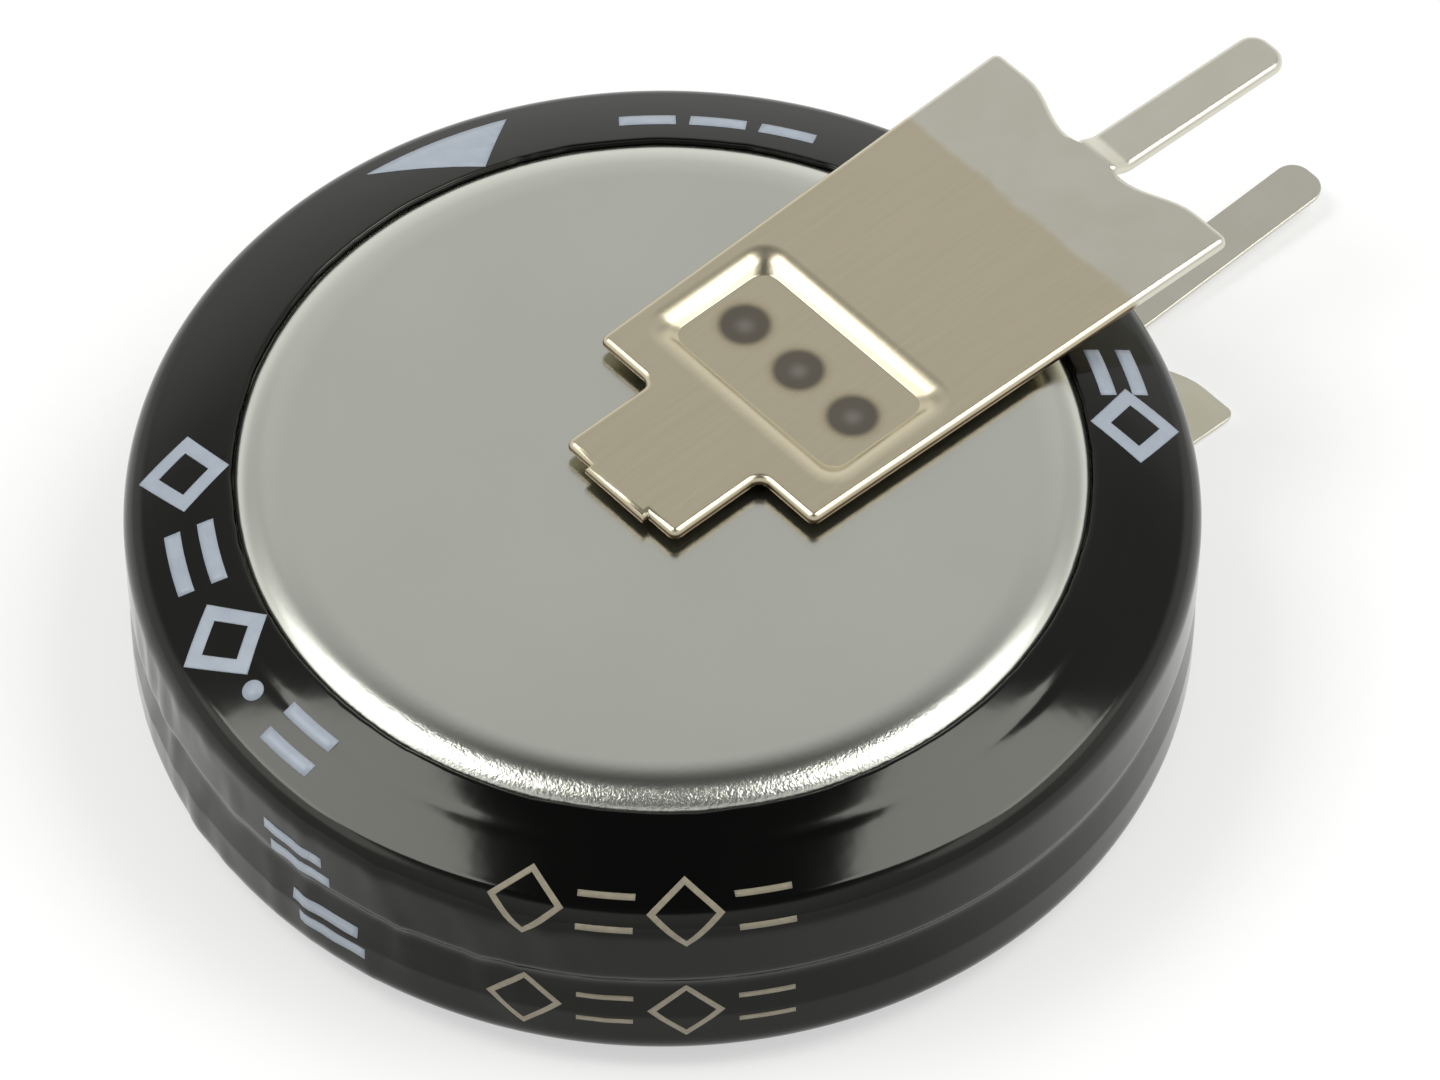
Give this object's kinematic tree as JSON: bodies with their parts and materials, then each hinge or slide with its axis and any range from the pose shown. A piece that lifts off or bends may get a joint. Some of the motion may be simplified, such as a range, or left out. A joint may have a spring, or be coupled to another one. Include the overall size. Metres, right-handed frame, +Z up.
{
  "type": "supercapacitor",
  "caption": "Stacked coin-cell supercapacitor: crimped steel cells in a glossy black shrink sleeve, with welded terminal strips whose flat pins stand in line for a circuit board.",
  "frame": {"origin": "on the axis of the disc, at the underside of the lower terminal strip that the part lies on", "axes": "+Z up along the axis of the disc, towards the upper terminal; +X along the pins, away from the disc"},
  "size_m": [0.0285, 0.0212, 0.006],
  "materials": {
    "shrink_film": "glossy black heat-shrink film",
    "terminal_strip": "satin rolled strip, tinned at the pin end",
    "cell_steel": "satin stainless steel",
    "gasket_plastic": "moulded natural polypropylene",
    "electrode_carbon": "pressed activated carbon",
    "separator_paper": "plain cellulose paper"
  },
  "bodies": {
    "root": {"sleeve": "shrink_film", "upper_terminal": "terminal_strip", "lower_terminal": "terminal_strip", "upper_cap": "cell_steel", "upper_gasket": "gasket_plastic", "upper_case": "cell_steel", "upper_cap_electrode": "electrode_carbon", "upper_separator": "separator_paper", "upper_case_electrode": "electrode_carbon", "lower_cap": "cell_steel", "lower_gasket": "gasket_plastic", "lower_case": "cell_steel", "lower_cap_electrode": "electrode_carbon", "lower_separator": "separator_paper", "lower_case_electrode": "electrode_carbon"}
  },
  "joints": []
}
